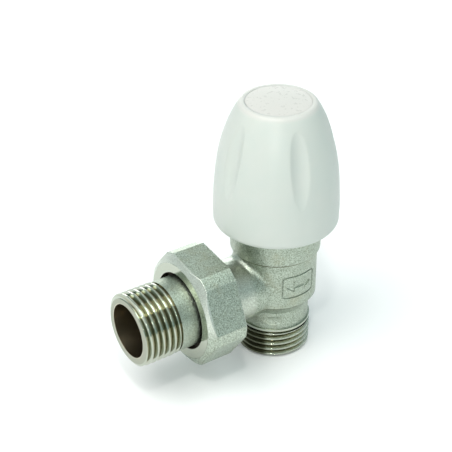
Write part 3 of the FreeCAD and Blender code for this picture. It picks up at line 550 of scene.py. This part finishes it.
def turned_brass(name, radial):
    """Machined brass with a slight tarnish. Its turning rings are radial or up the axis."""
    recipe = Recipe(name)
    rings = turning_height(recipe, recipe.upright_radius() if radial else recipe.z)
    recipe.set(Base_Color=recipe.mix(patches(recipe, TARNISH), BRASS, BRASS_TARNISH), Metallic=1.0,
               Roughness=vary(recipe, rings, BRASS_ROUGH),
               Normal=recipe.bump(rings, TURNING_DEPTH, 1.0, recipe.rounded(BRASS_EDGE)))
    return recipe.material


def spring_steel():
    """Drawn spring steel."""
    recipe = Recipe("steel_spring")
    rings = turning_height(recipe, recipe.z)
    recipe.set(Base_Color=STEEL, Metallic=1.0, Roughness=vary(recipe, rings, STEEL_ROUGH),
               Normal=recipe.bump(rings, STEEL_DEPTH))
    return recipe.material


# ---------------------------------------------------------------- plastics and rubber
def moulded_plastic(name, colour, shade, rough, scatter, edge=PLASTIC_EDGE, crown=None, dome=None):
    """Satin moulding: faint tone changes, fine spark-eroded grain and slow waviness.

    A crown is a paler colour at the cap's upper end, painted top light. A dome's radius of curvature
    takes the place of rounded edges.
    """
    recipe = Recipe(name)
    tone = recipe.mix(patches(recipe, PLASTIC_TONE), colour, shade)
    if crown is not None:
        # Painted top light: the crown colour at the cap's upper end.
        tone = recipe.mix(fade_in(recipe, recipe.z, CAP_LIT_TOP_Z), tone, crown)
    smooth = recipe.rounded(edge) if dome is None else recipe.dome_normal(dome)
    normal = recipe.bump(recipe.noise(PLASTIC_WAVE, 1.0), PLASTIC_WAVE_DEPTH, 1.0, smooth)
    normal = recipe.bump(recipe.noise(PLASTIC_GRAIN, 2.0), PLASTIC_GRAIN_DEPTH, 1.0, normal)
    recipe.set(Base_Color=tone, Roughness=vary(recipe, recipe.noise(PLASTIC_ROUGH_PATCH), rough),
               Normal=normal, IOR=PLASTIC_IOR, Subsurface_Weight=scatter, Subsurface_Scale=MM,
               Subsurface_Radius=PLASTIC_SCATTER_RADIUS)
    return recipe.material


def black_rubber():
    """Seal rubber with a slight bloom."""
    recipe = Recipe("rubber_black")
    recipe.set(Base_Color=recipe.mix(patches(recipe, RUBBER_HAZE), RUBBER, RUBBER_BLOOM),
               Roughness=vary(recipe, recipe.noise(RUBBER_ROUGH_PATCH, 2.0), RUBBER_ROUGH),
               Normal=recipe.bump(recipe.noise(RUBBER_GRAIN), RUBBER_DEPTH))
    return recipe.material


# ---------------------------------------------------------------- finishes on the pieces
def dress(material, *nodes):
    """Give CAD pieces their finish."""
    for node in nodes:
        mesh = frame["nodes"][node].data
        mesh.materials.clear()
        mesh.materials.append(material)


def dress_all():
    """Finishes of all pieces."""
    # The cap's crown colour is painted top light.
    cap = moulded_plastic("white_plastic_cap", rgba(0.545, 0.575, 0.535), rgba(0.53, 0.57, 0.53),
                          rough=(0.32, 0.42), scatter=0.2, edge=CAP_EDGE, crown=rgba(0.60, 0.60, 0.565))
    # Paler and warmer than the cap: painted top light, as on the cap's crown.
    insert = moulded_plastic("white_plastic_insert", rgba(0.61, 0.595, 0.56), rgba(0.60, 0.59, 0.555),
                             rough=(0.26, 0.36), scatter=0.0, dome=TOP_DISC_CURVE_R)
    nylon = moulded_plastic("nylon_natural", rgba(0.74, 0.72, 0.62), rgba(0.70, 0.68, 0.58),
                            rough=(0.34, 0.46), scatter=0.3)
    sealing = moulded_plastic("ptfe_white", rgba(0.82, 0.82, 0.80), rgba(0.78, 0.78, 0.76),
                              rough=(0.45, 0.55), scatter=0.3)
    dress(body_metal(), "body_forging")
    dress(nut_metal(), "union_nut")
    dress(tail_metal(), "tailpiece")
    dress(cap, "cap_shell")
    dress(insert, "cap_top_disc")
    dress(nylon, "cap_clip_ring")
    dress(turned_brass("brass_bare", False), "headwork", "spindle", "shutter", "seat_screw")
    dress(turned_brass("brass_bare_faced", True), "gland_nut", "seat_plate")
    dress(sealing, "gland_washer", "thrust_washer")
    dress(black_rubber(), "headwork_oring", "spindle_oring_lower", "spindle_oring_upper",
          "tail_oring", "seat_washer")
    dress(spring_steel(), "swivel_clip")


# ---------------------------------------------------------------- floor, light, camera
def make_floor():
    """Plain pale floor just under the object."""
    mesh = bpy.data.meshes.new("floor")
    signs = [(-1, -1), (1, -1), (1, 1), (-1, 1)]
    corners = [(across * FLOOR_HALF, along * FLOOR_HALF, -FLOOR_DROP) for across, along in signs]
    mesh.from_pydata(corners, [], [(0, 1, 2, 3)])
    floor = bpy.data.objects.new("floor", mesh)
    bpy.context.scene.collection.objects.link(floor)
    recipe = Recipe("floor_paper")
    recipe.set(Base_Color=PAPER, Roughness=PAPER_ROUGH)
    mesh.materials.append(recipe.material)


def multiply_add(tree, value, factor, term):
    """Math node for value times factor plus term."""
    node = tree.nodes.new("ShaderNodeMath")
    node.operation = "MULTIPLY_ADD"
    tree.links.new(value, node.inputs[0])
    node.inputs[1].default_value = factor
    if isinstance(term, bpy.types.NodeSocket):
        tree.links.new(term, node.inputs[2])
    else:
        node.inputs[2].default_value = term
    return node.outputs[0]


def make_world():
    """Soft light from all round, brighter overhead and on the branch's side."""
    world = bpy.data.worlds.new("studio")
    world.use_nodes = True
    tree = world.node_tree
    background = tree.nodes["Background"]
    place = tree.nodes.new("ShaderNodeTexCoord")
    split = tree.nodes.new("ShaderNodeSeparateXYZ")
    ramp = tree.nodes.new("ShaderNodeValToRGB")
    tree.links.new(place.outputs["Generated"], split.inputs[0])
    upward = multiply_add(tree, split.outputs["Z"], SKY_UPWARD, SKY_LEVEL)
    leftward = multiply_add(tree, split.outputs["X"], SKY_LEFTWARD, upward)
    tree.links.new(leftward, ramp.inputs[0])
    tree.links.new(ramp.outputs[0], background.inputs["Color"])
    low, high = ramp.color_ramp.elements
    low.position = 0.0
    low.color = SKY_LOW
    high.position = 1.0
    high.color = SKY_HIGH
    background.inputs["Strength"].default_value = SKY_STRENGTH
    bpy.context.scene.world = world


def outward(azimuth, elevation):
    """Direction from the object to a viewer at this azimuth and elevation, in degrees."""
    around = math.radians(azimuth)
    up = math.radians(elevation)
    return Vector((math.sin(around) * math.cos(up), -math.cos(around) * math.cos(up), math.sin(up)))


def soft_box(name, azimuth, elevation, distance, width, height, power, colour=LIGHT_WHITE):
    """Rectangular area light that faces the object."""
    light = bpy.data.lights.new(name, "AREA")
    light.shape = "RECTANGLE"
    light.size = width
    light.size_y = height
    light.energy = power
    light.color = colour
    lamp = bpy.data.objects.new(name, light)
    back = outward(azimuth, elevation)
    lamp.location = LIGHT_AIM + back * distance
    lamp.rotation_mode = "QUATERNION"
    lamp.rotation_quaternion = (-back).to_track_quat("-Z", "Y")
    bpy.context.scene.collection.objects.link(lamp)


def make_lights():
    """Key from the branch's side, weak fills above and behind, and a strip for the threads."""
    soft_box("key", azimuth=-85, elevation=60, distance=0.8, width=0.5, height=0.5, power=3.1,
             colour=(1.0, 0.98, 0.95))
    soft_box("top", azimuth=58, elevation=68, distance=0.9, width=0.3, height=0.3, power=0.6,
             colour=(0.85, 1.0, 1.0))
    soft_box("behind", azimuth=150, elevation=6, distance=0.45, width=0.25, height=0.25, power=0.6,
             colour=(1.0, 1.0, 0.98))
    soft_box("crown", azimuth=-37, elevation=60, distance=0.7, width=0.05, height=0.05, power=0.75)
    soft_box("strip", azimuth=-42, elevation=22, distance=0.6, width=0.01, height=0.2, power=0.5)


def make_camera():
    """Camera at the photograph's angle, looking straight along its axis."""
    back = outward(CAMERA_AZIMUTH, CAMERA_ELEVATION)
    around = math.radians(CAMERA_AZIMUTH)
    right = Vector((math.cos(around), math.sin(around), 0))
    up = back.cross(right)
    data = bpy.data.cameras.new("camera")
    data.sensor_width = SENSOR
    data.lens = CAMERA_LENS
    data.clip_start = CAMERA_NEAR
    data.clip_end = CAMERA_FAR
    camera = bpy.data.objects.new("camera", data)
    place = back * CAMERA_DEPTH - right * ORIGIN_RIGHT_OF_CENTRE + up * ORIGIN_BELOW_CENTRE
    turn = Matrix((right, up, back)).transposed().to_4x4()
    camera.matrix_world = Matrix.Translation(place) @ turn
    bpy.context.scene.collection.objects.link(camera)
    bpy.context.scene.camera = camera


dress_all()
make_floor()
make_world()
make_lights()
make_camera()
bpy.context.scene.view_settings.view_transform = "Standard"
